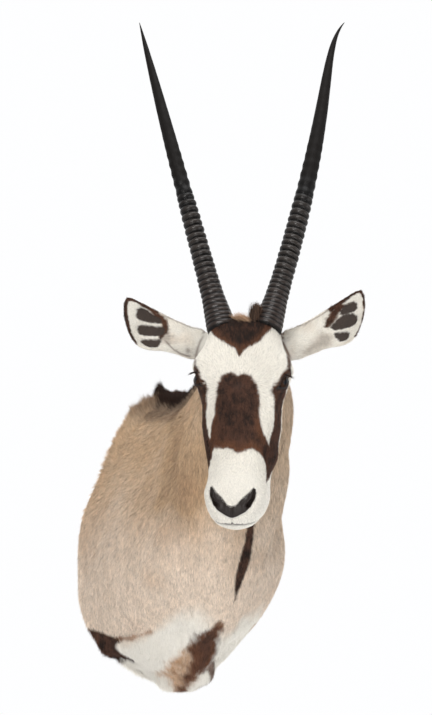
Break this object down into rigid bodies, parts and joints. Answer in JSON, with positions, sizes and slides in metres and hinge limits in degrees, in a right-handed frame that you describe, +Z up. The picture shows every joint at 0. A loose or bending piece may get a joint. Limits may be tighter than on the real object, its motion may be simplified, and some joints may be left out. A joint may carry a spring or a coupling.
{
  "type": "gemsbok shoulder mount",
  "caption": "Wall-hung gemsbok shoulder mount with long ringed horns, masked face, glass eyes, erect mane and a back board with a keyhole hanger.",
  "frame": {"origin": "on the back of the board, on the mount's middle line, halfway up the board", "axes": "+Y out of the board's back into the wall, +Z up, +X to the animal's left; the animal looks along -Y, turned towards -X"},
  "size_m": [0.4591, 0.5894, 1.326],
  "materials": {
    "hide": "short fawn hair with white and dark brown markings",
    "horn": "satin black-brown horn, ringed in its lower part",
    "eye_glass": "polished dark brown glass eye, opaque",
    "plywood": "raw sanded plywood",
    "zinc_steel": "zinc plated steel"
  },
  "bodies": {
    "root": {"hide": "hide", "right_horn": "horn", "left_horn": "horn", "right_eye": "eye_glass", "left_eye": "eye_glass", "back_board": "plywood", "hanger_plate": "zinc_steel", "upper_hanger_screw": "zinc_steel", "lower_hanger_screw": "zinc_steel"}
  },
  "joints": []
}
